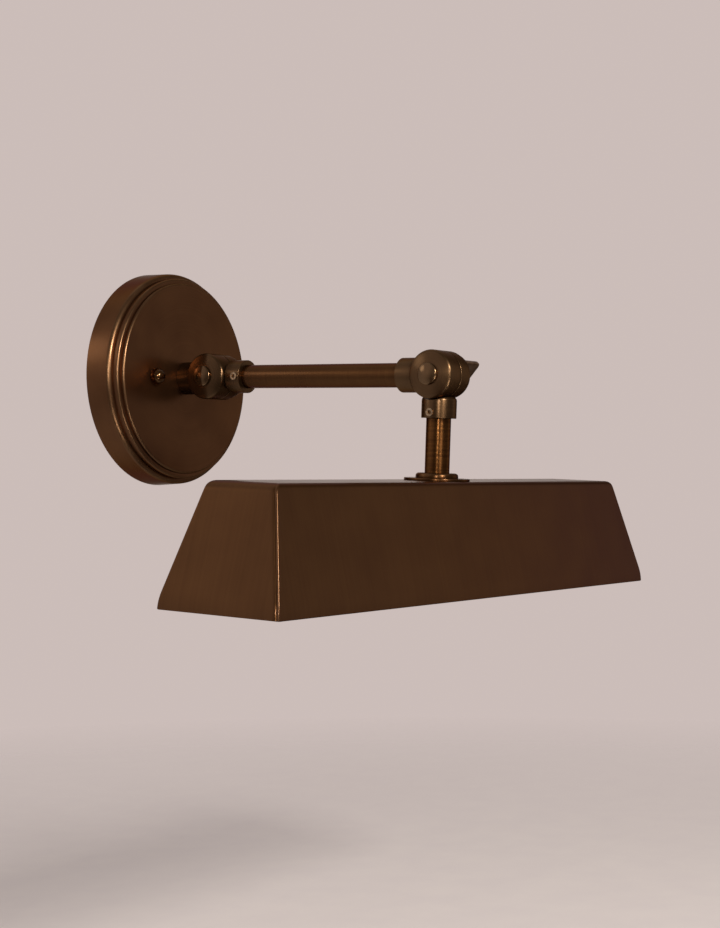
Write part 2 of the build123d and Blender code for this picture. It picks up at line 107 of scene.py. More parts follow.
tube_r = 6.35
tube_bore_r = 5.05
tube_start = 16.0
stem_end = 52.5
ring_r = 10.9
ring_t = 2.6
ring_round = 1.6
flange_r = 16.8
flange_t = 1.3

nipple_r = 5.0
nipple_bore_r = 4.0
nipple_inner = 12.0
nipple_outer = 27.1
stem_nipple_top = 40.5
stem_nipple_end = 64.1
stem_nut_end = 60.8

shade_top = 53.8
shade_height = 57.4
shade_top_length = 326.5
shade_top_width = 38.1
shade_bottom_length = 356.4
shade_bottom_width = 66.4
shade_sheet = 1.0
shade_fold_r = 2.8

lamp_axis = 79.0
holder_start = 15.5
holder_end = 46.5
holder_r = 12.0
holder_base_r = 12.8
holder_base_end = 21.5
holder_bore_r = 7.0
holder_floor = 25.5
holder_round = 0.5
holder_head_r = 2.8
holder_head_t = 2.2
glass_start = 48.55
glass_end = 146.55
glass_r = 12.5
glass_throat_r = 7.2
glass_neck = 9.0
glass_neck_round = 6.25
glass_end_round = 9.0
screw_seat = 14.0

# Surface detail that only this script makes, in millimetres or counts
fine_round = 0.2
seat_round = 0.25
end_round = 0.3
rim_round = 0.4
shoulder_round = 2.6
crown_inset = 2.4
button_side = 1.5
button_round = 0.8
dome_inset = 1.4
pole_head_t = 1.2
pole_slot = 0.5
pole_slot_depth = 0.6
holder_slot = 0.7
holder_slot_depth = 0.9

knurl_count = 18
knurl_sink = 0.25
knurl_ridge = (0.42, 0.38, 2.0)
rib_count = 30
rib_sink = 0.1
rib_ridge = (0.5, 0.5, 9.5)
thread_pitch = 1.0
thread_depth = 0.28
thread_gap = 0.3
plate_thread_end = 3.2
stud_pitch = 0.7
stud_thread_r = 0.2

shade_end_fold_r = 5.6
shade_corner_r = 0.5
shade_hem = 8.0
shade_hem_slope = 0.1
shade_edge_r = 0.3
seam_strip = 1.1
seam_gap = 0.6
seam_depth = 0.8
panel_round = 2.8

# Mesh fineness; the merge distance is in millimetres
turn_steps = 96
small_turn_steps = 64
ball_turn_steps = 48
stud_turn_steps = 32
arc_steps = 7
ball_steps = 18
crown_steps = 6
dome_steps = 6
hem_steps = 6
fold_steps = 12
seam_steps = 4
thread_steps = 28
thread_sides = 6
ridge_segments = 8
ridge_rings = 6
head_sides = 32
merge_distance = 0.002
sharp_angle = math.radians(32)


def joint_place(joint_name):
    """The place of a joint at rest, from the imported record."""
    for joint in frame["joints"]:
        if joint["name"] == joint_name:
            return Matrix.Translation(Vector(joint["pos_m"]))
    raise ValueError(joint_name)


def moved(x, y, z):
    return Matrix.Translation(Vector((x, y, z)) * MM)


def turn(degrees, axis):
    return Matrix.Rotation(math.radians(degrees), 4, axis)


at_wall = joint_place("arm_tilt")
at_arm = at_wall @ turn(arm_droop, "X")
at_arm_end = at_arm @ moved(0, -arm_span, 0)
at_shade = joint_place("shade_tilt") @ turn(shade_lean, "X")
half_turn = turn(180, "Z")
out_front = turn(-90, "Y")
out_rear = turn(90, "Y")
away = turn(90, "X")
down = turn(180, "X")


# Mesh makers

def arc_corner(before, corner, after, radius):
    """Points of an arc that rounds a corner, each with its edge share from 0 at the ends to 1 in the middle.
    The share sets the pale paint of rubbing and of a painted highlight.
    """
    here = Vector(corner)
    back = (Vector(before) - here).normalized()
    forth = (Vector(after) - here).normalized()
    half = back.angle(forth) / 2
    reach = radius / math.tan(half)
    centre = here + (back + forth).normalized() * (radius / math.sin(half))
    start = here + back * reach - centre
    sweep = start.angle_signed(here + forth * reach - centre)
    points = []
    for step in range(arc_steps + 1):
        share = step / arc_steps
        angle = -sweep * share
        spoke = Vector((
            start.x * math.cos(angle) - start.y * math.sin(angle),
            start.x * math.sin(angle) + start.y * math.cos(angle),
        ))
        points.append((centre.x + spoke.x, centre.y + spoke.y, math.sin(math.pi * share)))
    return points


def outline(*corners):
    """An open outline of (along, radius) points, each rounded by its third value where it has one."""
    points = []
    for index, corner in enumerate(corners):
        if len(corner) == 2:
            points.append((corner[0], corner[1], 0.0))
        else:
            before = corners[index - 1][:2]
            after = corners[index + 1][:2]
            points += arc_corner(before, corner[:2], after, corner[2])
    return points


def layers(bm):
    """The UV map and the attribute of a mesh in the making that marks rounded edges for pale paint: rubbing
    and a painted highlight.
    """
    uv = bm.loops.layers.uv.get("UVMap") or bm.loops.layers.uv.new("UVMap")
    wear_and_highlight = bm.verts.layers.float.get("wear_and_highlight") or bm.verts.layers.float.new("wear_and_highlight")
    return uv, wear_and_highlight


def lay_face(bm, uv, verts, marks):
    face = bm.faces.new(verts)
    face.smooth = True
    for loop, mark in zip(face.loops, marks):
        loop[uv].uv = mark
    return face


def turned(bm, points, place, steps=turn_steps):
    """Turns an outline about the Z axis of a place. It closes up unless it starts at a pole."""
    uv, wear_and_highlight = layers(bm)
    capped = points[0][1] == 0
    path = [0.0]
    for (a, r, _), (b, q, _) in zip(points, points[1:]):
        path.append(path[-1] + math.hypot(b - a, q - r) * MM)
    rings = []
    for along, radius, wear_and_highlight_share in points:
        ring = []
        for step in range(1 if radius == 0 else steps):
            angle = 2 * math.pi * step / steps
            spot = Vector((radius * math.cos(angle), radius * math.sin(angle), along)) * MM
            vert = bm.verts.new(place @ spot)
            vert[wear_and_highlight] = wear_and_highlight_share
            ring.append(vert)
        rings.append(ring)
    pairs = list(zip(range(len(rings) - 1), range(1, len(rings))))
    if not capped:
        pairs.append((len(rings) - 1, 0))
    faces = []
    for low, high in pairs:
        a = rings[low]
        b = rings[high]
        v0 = path[low]
        v1 = path[high] if high else v0 + MM
        for step in range(steps):
            nxt = (step + 1) % steps
            u0 = step / steps
            u1 = (step + 1) / steps
            if len(a) == 1:
                corners = (a[0], b[nxt], b[step])
                marks = ((u0, v0), (u1, v1), (u0, v1))
            elif len(b) == 1:
                corners = (a[step], a[nxt], b[0])
                marks = ((u0, v0), (u1, v0), (u0, v1))
            else:
                corners = (a[step], a[nxt], b[nxt], b[step])
                marks = ((u0, v0), (u1, v0), (u1, v1), (u0, v1))
            faces.append(lay_face(bm, uv, corners, marks))
    bmesh.ops.recalc_face_normals(bm, faces=faces)
    return [vert for ring in rings for vert in ring]


def seam_profile(half_x, half_y, seam):
    """Points on an end from the corner inwards: the long side's edge, a gap and the rounded panel."""
    depth = seam_depth * seam
    strip_end = half_y - seam_strip
    gap_end = strip_end - seam_gap
    # The long side's edge strip gets the seam's pale paint: rubbing plus a painted highlight
    points = [(half_x, strip_end, seam), (half_x - depth, strip_end, 0), (half_x - depth, gap_end, 0)]
    for step in range(1, seam_steps + 1):
        angle = math.pi / 2 * step / seam_steps
        x = half_x - depth * (1 - math.sin(angle))
        y = gap_end - panel_round * (1 - math.cos(angle))
        points.append((x, y, 0))
    return points


def shade_quarter(half_x, half_y, seam):
    """Points from an end of the shade round one corner to the long side, each with its share of pale paint:
    rubbing on the sheet's edge and a painted highlight.
    """
    points = list(reversed(seam_profile(half_x, half_y, seam)))
    for step in range(arc_steps + 1):
        angle = math.pi / 2 * step / arc_steps
        x = half_x - shade_corner_r * (1 - math.cos(angle))
        y = half_y - shade_corner_r * (1 - math.sin(angle))
        points.append((x, y, seam if step < arc_steps else 0))
    return points


def shade_ring(half_x, half_y, seam):
    """Points round the shade at one level; the rear corners are plain folds, seam fades the front seams and
    their pale paint of rubbing and painted highlight.
    """
    rear = shade_quarter(half_x, half_y, 0)
    front = shade_quarter(half_x, half_y, seam)
    points = list(rear)
    points += [(-x, y, wear_and_highlight_share) for x, y, wear_and_highlight_share in reversed(rear)]
    points += [(-x, -y, wear_and_highlight_share) for x, y, wear_and_highlight_share in front]
    points += [(x, -y, wear_and_highlight_share) for x, y, wear_and_highlight_share in reversed(front)]
    return points


def stacked(bm, levels, place):
    """A closed form through rings of points; a level is (height, points)."""
    uv, wear_and_highlight = layers(bm)
    rings = []
    run = 0.0
    for index, (height, points) in enumerate(levels):
        if index:
            run += abs(height - levels[index - 1][0]) * MM
        ring = []
        for x, y, wear_and_highlight_share in points:
            vert = bm.verts.new(place @ (Vector((x, y, height)) * MM))
            vert[wear_and_highlight] = wear_and_highlight_share
            ring.append(vert)
        rings.append((ring, points, run))
    faces = []
    for (low, low_points, v0), (high, high_points, v1) in zip(rings, rings[1:]):
        count = len(low)
        for index in range(count):
            nxt = (index + 1) % count
            run_x = abs(low_points[nxt][0] - low_points[index][0])
            run_y = abs(low_points[nxt][1] - low_points[index][1])
            side = 0 if run_x > run_y else 1
            marks = [
                (low_points[index][side] * MM, v0),
                (low_points[nxt][side] * MM, v0),
                (high_points[nxt][side] * MM, v1),
                (high_points[index][side] * MM, v1),
            ]
            faces.append(lay_face(bm, uv, (low[index], low[nxt], high[nxt], high[index]), marks))
    for ring, points, run in (rings[0], rings[-1]):
        marks = [(x * MM, run + y * MM) for x, y, _ in points]
        faces.append(lay_face(bm, uv, ring, marks))
    bmesh.ops.recalc_face_normals(bm, faces=faces)


def show(thing):
    bpy.context.scene.collection.objects.link(thing)


def piece_from(name, bm, body, slot, finish, *nodes):
    """A finished piece that rides on a body and stands for its nodes."""
    mesh = bpy.data.meshes.new(name)
    bm.to_mesh(mesh)
    bm.free()
    settle(name, mesh, body, slot, finish, *nodes)


def settle(name, mesh, body, slot, finish, *nodes):
    mesh.shade_smooth()
    mesh.set_sharp_from_angle(angle=sharp_angle)
    mesh.materials.clear()
    mesh.materials.append(finish)
    piece = bpy.data.objects.new(name, mesh)
    show(piece)
    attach(piece, body)
    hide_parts(*nodes)


def smoothed(node, name, body, slot, finish):
    """A merged copy of a solid, so that its round faces shade smoothly."""
    bm = bmesh.new()
    bm.from_mesh(frame["nodes"][node].data)
    bmesh.ops.remove_doubles(bm, verts=bm.verts, dist=merge_distance * MM)
    for layer in list(bm.loops.layers.uv.values()):
        bm.loops.layers.uv.remove(layer)
    piece_from(name, bm, body, slot, finish, node)


def dress(finish, *nodes):
    """Gives a finish to solids that stay as they are."""
    for node in nodes:
        mesh = frame["nodes"][node].data
        mesh.materials.clear()
        mesh.materials.append(finish)


# Finishes

def start_finish(name):
    finish = bpy.data.materials.new(name)
    finish.use_nodes = True
    return finish, finish.node_tree, finish.node_tree.nodes["Principled BSDF"]


def node_of(tree, kind, **settings):
    node = tree.nodes.new(kind)
    for key, value in settings.items():
        setattr(node, key, value)
    return node


def put(tree, target, value):
    """Links a socket to a target, or sets a plain value there."""
    if isinstance(value, bpy.types.NodeSocket):
        tree.links.new(value, target)
    else:
        target.default_value = value


def feed(tree, node, **sockets):
    """Fills sockets by name. Underscores stand for spaces."""
    for key, value in sockets.items():
        put(tree, node.inputs[key.replace("_", " ")], value)
    return node


def object_spot(tree):
    return node_of(tree, "ShaderNodeTexCoord").outputs["Object"]


def map_spot(tree):
    return node_of(tree, "ShaderNodeUVMap", uv_map="UVMap").outputs["UV"]


def stretched(tree, spot, scale):
    mapping = node_of(tree, "ShaderNodeMapping")
    feed(tree, mapping, Vector=spot, Scale=scale)
    return mapping.outputs["Vector"]


def cloud(tree, spot, scale, detail=4.0, rough=0.55):
    noise = node_of(tree, "ShaderNodeTexNoise")
    feed(tree, noise, Vector=spot, Scale=scale, Detail=detail, Roughness=rough)
    return noise.outputs["Fac"]


def between(tree, value, low, high, to_low=0.0, to_high=1.0):
    """Maps a value from one span to another and holds it there."""
    spread = node_of(tree, "ShaderNodeMapRange")
    feed(tree, spread, Value=value, From_Min=low, From_Max=high, To_Min=to_low, To_Max=to_high)
    return spread.outputs["Result"]


def blended(tree, share, first, second):
    mix = node_of(tree, "ShaderNodeMix", data_type="RGBA")
    for index, value in ((0, share), (6, first), (7, second)):
        put(tree, mix.inputs[index], value)
    return mix.outputs[2]


def combined(tree, kind, first, second):
    """Two values added, multiplied or compared."""
    math_node = node_of(tree, "ShaderNodeMath", operation=kind)
    put(tree, math_node.inputs[0], first)
    put(tree, math_node.inputs[1], second)
    return math_node.outputs[0]


def raised(tree, shader, height, depth, strength):
    bump = node_of(tree, "ShaderNodeBump")
    feed(tree, bump, Height=height, Distance=depth, Strength=strength)
    feed(tree, shader, Normal=bump.outputs["Normal"])


# The rounded-edge share: it paints rubbing and a painted highlight
def wear_and_highlight_mask(tree):
    return node_of(tree, "ShaderNodeAttribute", attribute_name="wear_and_highlight").outputs["Fac"]


def aged_metal(name, dark, light, edge, rough, uneven, lines, line_depth, streak, wear_and_highlight, stretch, lacquer):
    """Lacquered brown metal: cloudy colour, fine lines along one direction of the map, and rounded edges
    painted paler, both as rubbing and as a painted highlight.
    """
    finish, tree, shader = start_finish(name)
    spot = object_spot(tree)
    mottle = cloud(tree, spot, scale=42.0, detail=2.0, rough=0.5)
    brush = cloud(tree, stretched(tree, map_spot(tree), lines), scale=1.0, detail=3.0, rough=0.6)
    clouds = combined(tree, "MULTIPLY", mottle, 1.0 - streak)
    tone = combined(tree, "ADD", clouds, combined(tree, "MULTIPLY", brush, streak))
    colour = blended(tree, between(tree, tone, low=0.34, high=0.68), dark, light)
    # Rounded edges are painted paler by the edge share: partly rubbing, partly a painted highlight
    wear_and_highlight_patches = cloud(tree, spot, scale=90.0, detail=2.0)
    patchy = between(tree, wear_and_highlight_patches, low=0.30, high=0.62, to_low=0.55)
    rubbed_and_highlit = combined(tree, "MULTIPLY", combined(tree, "MULTIPLY", wear_and_highlight_mask(tree), patchy), wear_and_highlight)
    colour = blended(tree, rubbed_and_highlit, colour, edge)
    gloss = between(tree, mottle, low=0.25, high=0.75, to_low=rough - uneven, to_high=rough + uneven)
    feed(tree, shader, Base_Color=colour, Metallic=metal_share, Roughness=gloss)
    feed(tree, shader, Specular_Tint=grazing_tint, Coat_Weight=lacquer, Coat_Roughness=lacquer_rough)
    if stretch:
        tangent = node_of(tree, "ShaderNodeTangent", direction_type="UV_MAP", uv_map="UVMap")
        feed(tree, shader, Anisotropic=stretch, Anisotropic_Rotation=0.25, Tangent=tangent.outputs["Tangent"])
    raised(tree, shader, brush, depth=line_depth, strength=0.5)
    return finish


def plain_metal(name, dark, light, rough, grain):
    """Bare or plated metal with a fine grain."""
    finish, tree, shader = start_finish(name)
    spot = object_spot(tree)
    speck = cloud(tree, spot, grain, rough=0.6)
    colour = blended(tree, between(tree, speck, low=0.35, high=0.65), dark, light)
    gloss = between(tree, speck, low=0.3, high=0.7, to_low=rough + 0.06, to_high=rough - 0.05)
    feed(tree, shader, Base_Color=colour, Metallic=1.0, Roughness=gloss)
    raised(tree, shader, cloud(tree, spot, grain * 3.0), depth=0.00003, strength=0.35)
    return finish


def moulded(name, dark, light, rough, grain):
    """Moulded plastic with a faint texture."""
    finish, tree, shader = start_finish(name)
    spot = object_spot(tree)
    colour = blended(tree, between(tree, cloud(tree, spot, scale=90.0), low=0.35, high=0.65), dark, light)
    dull = cloud(tree, spot, scale=240.0)
    gloss = between(tree, dull, low=0.3, high=0.7, to_low=rough - 0.05, to_high=rough + 0.08)
    feed(tree, shader, Base_Color=colour, Roughness=gloss)
    raised(tree, shader, cloud(tree, spot, grain), depth=0.00004, strength=0.3)
    return finish


def opal(name, dark, light):
    """White coated glass with a faint cloudiness."""
    finish, tree, shader = start_finish(name)
    milk = cloud(tree, object_spot(tree), scale=60.0, detail=3.0)
    colour = blended(tree, between(tree, milk, low=0.3, high=0.7), dark, light)
    gloss = between(tree, milk, low=0.3, high=0.7, to_low=0.22, to_high=0.32)
    feed(tree, shader, Base_Color=colour, Roughness=gloss, Coat_Weight=0.3, Coat_Roughness=0.08)
    return finish


def braided(name, dark, light):
    """Dark lead sheath with a fine weave."""
    finish, tree, shader = start_finish(name)
    weave = node_of(tree, "ShaderNodeTexVoronoi")
    feed(tree, weave, Vector=object_spot(tree), Scale=2600.0)
    cells = weave.outputs["Distance"]
    colour = blended(tree, between(tree, cells, low=0.1, high=0.7), dark, light)
    gloss = between(tree, cells, low=0.1, high=0.7, to_low=0.55, to_high=0.8)
    feed(tree, shader, Base_Color=colour, Roughness=gloss)
    raised(tree, shader, cells, depth=0.0001, strength=0.5)
    return finish


metal_share = 0.93
grazing_tint = (0.45, 0.34, 0.25, 1)
lacquer_rough = 0.14
plate_dark = (0.104, 0.045, 0.0198, 1)
plate_light = (0.156, 0.070, 0.0302, 1)
shade_dark = (0.102, 0.0440, 0.0163, 1)
shade_light = (0.129, 0.0573, 0.0211, 1)
bolt_dark = (0.110, 0.060, 0.0280, 1)
bolt_light = (0.200, 0.115, 0.0540, 1)
cast_dark = (0.080, 0.043, 0.0200, 1)
cast_light = (0.148, 0.081, 0.0380, 1)
tube_dark = (0.075, 0.031, 0.0115, 1)
tube_light = (0.120, 0.052, 0.0175, 1)
stem_dark = (0.060, 0.0225, 0.0075, 1)
stem_light = (0.160, 0.066, 0.0185, 1)
# Pale gold for rounded edges: part rubbing, part painted highlight
wear_and_highlight_gold = (0.50, 0.32, 0.17, 1)
# Pale pink for the shade's front seams: rubbing on the sheet's edge plus a painted highlight
seam_wear_and_highlight_pink = (0.36, 0.26, 0.205, 1)
turned_lines = (2.0, 3000.0, 1.0)
tube_lines = (3.0, 1800.0, 1.0)
stem_lines = (0.6, 620.0, 1.0)
sheet_lines = (520.0, 3.0, 1.0)

# The plate's large edge share widens the painted highlight on its shoulders and steps.
plate_bronze = aged_metal(
    "plate_bronze", plate_dark, plate_light, wear_and_highlight_gold, rough=0.31, uneven=0.04, lines=turned_lines,
    line_depth=0.00003, streak=0.4, wear_and_highlight=0.20, stretch=0.35, lacquer=0.05)
turned_bronze = aged_metal(
    "turned_bronze", cast_dark, cast_light, wear_and_highlight_gold, rough=0.30, uneven=0.04, lines=turned_lines,
    line_depth=0.00004, streak=0.45, wear_and_highlight=0.05, stretch=0.5, lacquer=0.06)
bolt_bronze = aged_metal(
    "bolt_bronze", bolt_dark, bolt_light, wear_and_highlight_gold, rough=0.18, uneven=0.03, lines=turned_lines,
    line_depth=0.00003, streak=0.4, wear_and_highlight=0.15, stretch=0.3, lacquer=0.2)
tube_bronze = aged_metal(
    "tube_bronze", tube_dark, tube_light, wear_and_highlight_gold, rough=0.28, uneven=0.05, lines=tube_lines,
    line_depth=0.00003, streak=0.45, wear_and_highlight=0.10, stretch=0.6, lacquer=0.08)
stem_gold = aged_metal(
    "stem_gold", stem_dark, stem_light, wear_and_highlight_gold, rough=0.25, uneven=0.04, lines=stem_lines,
    line_depth=0.00030, streak=0.8, wear_and_highlight=0.20, stretch=0.6, lacquer=0.04)
shade_bronze = aged_metal(
    "shade_bronze", shade_dark, shade_light, seam_wear_and_highlight_pink, rough=0.30, uneven=0.015, lines=sheet_lines,
    line_depth=0.000006, streak=0.45, wear_and_highlight=0.05, stretch=0.0, lacquer=0.15)
key_bronze = plain_metal(
    "key_bronze", dark=(0.20, 0.110, 0.054, 1), light=(0.33, 0.190, 0.096, 1), rough=0.36, grain=260.0)
bright_brass = plain_metal(
    "bright_brass", dark=(0.56, 0.34, 0.14, 1), light=(0.74, 0.50, 0.23, 1), rough=0.22, grain=700.0)
screw_brass = plain_metal(
    "screw_brass", dark=(0.24, 0.16, 0.090, 1), light=(0.52, 0.38, 0.24, 1), rough=0.18, grain=900.0)
nut_bronze = plain_metal(
    "nut_bronze", dark=(0.11, 0.052, 0.021, 1), light=(0.27, 0.14, 0.058, 1), rough=0.14, grain=900.0)
zinc_steel = plain_metal(
    "zinc_steel", dark=(0.44, 0.45, 0.47, 1), light=(0.60, 0.60, 0.61, 1), rough=0.33, grain=300.0)
ground_green = plain_metal(
    "ground_green", dark=(0.05, 0.20, 0.07, 1), light=(0.10, 0.33, 0.13, 1), rough=0.36, grain=320.0)
lampholder_black = moulded(
    "lampholder_black", dark=(0.016, 0.016, 0.017, 1), light=(0.032, 0.031, 0.031, 1), rough=0.36,
    grain=2200.0)
terminal_white = moulded(
    "terminal_white", dark=(0.68, 0.66, 0.60, 1), light=(0.78, 0.76, 0.71, 1), rough=0.45, grain=1500.0)
fibre = moulded("fibre", dark=(0.13, 0.045, 0.03, 1), light=(0.21, 0.085, 0.05, 1), rough=0.7, grain=1800.0)
opal_glass = opal("opal_glass", dark=(0.76, 0.74, 0.69, 1), light=(0.82, 0.81, 0.77, 1))
lead_sheath = braided("lead_sheath", dark=(0.028, 0.022, 0.02, 1), light=(0.075, 0.062, 0.055, 1))


# Trees that repeat a shape or wind it round

# A slot's length over its head's radius, and a hexagon's corner radius over its width across flats
slot_reach = 3.0
hexagon_reach = 0.577


def start_tree(name, sizes):
    """A tree with named size inputs and a finish, and the sockets by name."""
    tree = bpy.data.node_groups.new(name, "GeometryNodeTree")
    keys = {}
    for size, kind in sizes + [("Finish", "NodeSocketMaterial")]:
        keys[size] = tree.interface.new_socket(size, in_out="INPUT", socket_type=kind).identifier
    tree.interface.new_socket("Geometry", in_out="OUTPUT", socket_type="NodeSocketGeometry")
    given = tree.nodes.new("NodeGroupInput")
    return tree, keys, given


def end_tree(tree, given, geometry):
    realize = node_of(tree, "GeometryNodeRealizeInstances")
    finish = node_of(tree, "GeometryNodeSetMaterial")
    result = tree.nodes.new("NodeGroupOutput")
    feed(tree, realize, Geometry=geometry)
    feed(tree, finish, Geometry=realize.outputs[0], Material=given.outputs["Finish"])
    tree.links.new(finish.outputs[0], result.inputs[0])


def thread_tree():
    """A thread that winds up a rod from the XY plane."""
    sizes = [(size, "NodeSocketFloat") for size in ("Radius", "Length", "Turns", "Ridge")]
    tree, keys, given = start_tree("thread", sizes)
    radius = given.outputs["Radius"]
    spiral = node_of(tree, "GeometryNodeCurveSpiral")
    feed(tree, spiral, Resolution=thread_steps, Rotations=given.outputs["Turns"], Start_Radius=radius,
         End_Radius=radius, Height=given.outputs["Length"])
    section = node_of(tree, "GeometryNodeCurvePrimitiveCircle")
    feed(tree, section, Resolution=thread_sides, Radius=given.outputs["Ridge"])
    wound = node_of(tree, "GeometryNodeCurveToMesh")
    feed(tree, wound, Curve=spiral.outputs["Curve"], Profile_Curve=section.outputs["Curve"], Fill_Caps=True)
    end_tree(tree, given, wound.outputs["Mesh"])
    return tree, keys


def ridge_tree():
    """Long ridges round a barrel, with their middles on the XY plane."""
    sizes = [("Count", "NodeSocketInt"), ("Radius", "NodeSocketFloat"), ("Ridge", "NodeSocketVector")]
    tree, keys, given = start_tree("ridges", sizes)
    circle = node_of(tree, "GeometryNodeMeshCircle", fill_type="NONE")
    feed(tree, circle, Vertices=given.outputs["Count"], Radius=given.outputs["Radius"])
    ridge = node_of(tree, "GeometryNodeMeshUVSphere")
    feed(tree, ridge, Segments=ridge_segments, Rings=ridge_rings, Radius=1.0)
    spot = node_of(tree, "GeometryNodeInputPosition")
    aim = node_of(tree, "FunctionNodeAlignRotationToVector", axis="X")
    feed(tree, aim, Vector=spot.outputs["Position"])
    copies = node_of(tree, "GeometryNodeInstanceOnPoints")
    feed(tree, copies, Points=circle.outputs["Mesh"], Instance=ridge.outputs["Mesh"],
         Rotation=aim.outputs["Rotation"], Scale=given.outputs["Ridge"])
    end_tree(tree, given, copies.outputs["Instances"])
    return tree, keys


def screw_tree(name, slotted):
    """A screw head on every point, facing along the point's own axis, with a slot or a hexagon socket."""
    lengths = ("Head Radius", "Head Height", "Drive Width", "Drive Depth")
    sizes = [("Points", "NodeSocketGeometry")] + [(size, "NodeSocketFloat") for size in lengths]
    tree, keys, given = start_tree(name, sizes)
    head_r, head_t, width, sunk = [given.outputs[size] for size in lengths]
    head = node_of(tree, "GeometryNodeMeshCylinder", fill_type="NGON")
    feed(tree, head, Vertices=head_sides, Radius=head_r, Depth=head_t)
    lift = node_of(tree, "ShaderNodeCombineXYZ")
    feed(tree, lift, Z=combined(tree, "MULTIPLY", head_t, 0.5))
    depth = combined(tree, "MULTIPLY", sunk, 2.0)
    if slotted:
        size = node_of(tree, "ShaderNodeCombineXYZ")
        feed(tree, size, X=combined(tree, "MULTIPLY", head_r, slot_reach), Y=width, Z=depth)
        drive = node_of(tree, "GeometryNodeMeshCube")
        feed(tree, drive, Size=size.outputs["Vector"])
    else:
        corner_r = combined(tree, "MULTIPLY", width, hexagon_reach)
        drive = node_of(tree, "GeometryNodeMeshCylinder", fill_type="NGON")
        feed(tree, drive, Vertices=6, Radius=corner_r, Depth=depth)
    placed = node_of(tree, "GeometryNodeTransform")
    feed(tree, placed, Geometry=drive.outputs["Mesh"], Translation=lift.outputs["Vector"])
    cut = node_of(tree, "GeometryNodeMeshBoolean", operation="DIFFERENCE")
    tree.links.new(head.outputs["Mesh"], cut.inputs[0])
    tree.links.new(placed.outputs["Geometry"], cut.inputs[1])
    axis = node_of(tree, "GeometryNodeInputNamedAttribute", data_type="FLOAT_VECTOR")
    feed(tree, axis, Name="axis")
    aim = node_of(tree, "FunctionNodeAlignRotationToVector", axis="Z")
    feed(tree, aim, Vector=axis.outputs["Attribute"])
    copies = node_of(tree, "GeometryNodeInstanceOnPoints")
    feed(tree, copies, Points=given.outputs["Points"], Instance=cut.outputs["Mesh"],
         Rotation=aim.outputs["Rotation"])
    end_tree(tree, given, copies.outputs["Instances"])
    return tree, keys


def grown(made, finish, start=None, **sizes):
    """Runs a tree on a start mesh and returns its result as a plain mesh."""
    tree, keys = made
    mesh = start or bpy.data.meshes.new("start")
    maker = bpy.data.objects.new("maker", mesh)
    show(maker)
    modifier = maker.modifiers.new("grow", "NODES")
    modifier.node_group = tree
    modifier[keys["Finish"]] = finish
    for size, value in sizes.items():
        modifier[keys[size.replace("_", " ")]] = value
    bpy.context.view_layer.update()
    seen = maker.evaluated_get(bpy.context.evaluated_depsgraph_get())
    result = bpy.data.meshes.new_from_object(seen)
    bpy.data.objects.remove(maker)
    return result


def in_metres(*sizes):
    return tuple(size * MM for size in sizes)


def gather(bm, mesh, place):
    """Adds a grown mesh to a piece, moved to its place."""
    mesh.transform(place)
    bm.from_mesh(mesh)
    bpy.data.meshes.remove(mesh)


def screw_points(*places):
    """Points at the middle of screw heads, each with the axis that its head faces."""
    mesh = bpy.data.meshes.new("screw_points")
    mesh.from_pydata([place.translation for place in places], [], [])
    axes = mesh.attributes.new("axis", "FLOAT_VECTOR", "POINT")
    for item, place in zip(axes.data, places):
        item.vector = place.to_3x3() @ Vector((0, 0, 1))
    return mesh


threads = thread_tree()
ridges = ridge_tree()
socket_screws = screw_tree("socket_screws", False)
slotted_screws = screw_tree("slotted_screws", True)


# Pieces on the wall

def back_plate():
    bm = bmesh.new()
    bore = nipple_r + fit
    tiers = [plate_shoulder_r - plate_step_in * tier for tier in range(3)]
    heights = [plate_side, plate_side + plate_first_step, plate_depth]
    inner = [radius - plate_wall for radius in tiers]
    floors = [height - plate_wall for height in heights]
    points = outline(
        (plate_depth, bore),
        (plate_depth, tiers[2], plate_round),
        (heights[1], tiers[2]),
        (heights[1], tiers[1], plate_round),
        (heights[0], tiers[1]),
        (heights[0], tiers[0], shoulder_round),
        (0, plate_r),
        (0, plate_r - plate_wall),
        (floors[0], inner[0]),
        (floors[0], inner[1]),
        (floors[1], inner[1]),
        (floors[1], inner[2]),
        (floors[2], inner[2]),
        (floors[2], bore),
    )
    turned(bm, points, away, 2 * turn_steps)
    piece_from("back_plate", bm, "wall_base", "aged_bronze", plate_bronze, "plate_face", "plate_rim")


def ball_nuts():
    bm = bmesh.new()
    rise = math.sqrt(ball_r ** 2 - ball_foot_r ** 2)
    middle = plate_depth + rise
    foot = math.asin(rise / ball_r)
    points = [(plate_depth, 0, 0)]
    for step in range(ball_steps):
        angle = -foot + (math.pi / 2 + foot) * step / ball_steps
        points.append((middle + ball_r * math.sin(angle), ball_r * math.cos(angle), 0))
    points.append((middle + ball_r, 0, 0))
    for side in (-1, 1):
        place = moved(side * stud_spacing / 2, 0, 0) @ away
        turned(bm, points, place, ball_turn_steps)
        knurl = grown(ridges, nut_bronze, Count=knurl_count, Radius=(ball_r - knurl_sink) * MM,
                      Ridge=in_metres(*knurl_ridge))
        gather(bm, knurl, place @ moved(0, 0, middle))
    piece_from("knurled_ball_nuts", bm, "wall_base", "bright_brass", nut_bronze, "ball_nuts")


def plate_studs():
    bm = bmesh.new()
    core = stud_r - thread_depth / 2
    end = plate_depth + stud_reach
    points = outline((0, 0), (0, core, end_round), (end, core, end_round), (end, 0))
    for side in (-1, 1):
        place = moved(side * stud_spacing / 2, 0, 0) @ away
        turned(bm, points, place, stud_turn_steps)
        length = plate_depth - 2 * plate_wall
        wound = grown(threads, zinc_steel, Radius=core * MM, Length=length * MM, Turns=length / stud_pitch,
                      Ridge=stud_thread_r * MM)
        gather(bm, wound, place @ moved(0, 0, plate_wall))
    piece_from("threaded_studs", bm, "wall_base", "zinc_steel", zinc_steel, "plate_studs")


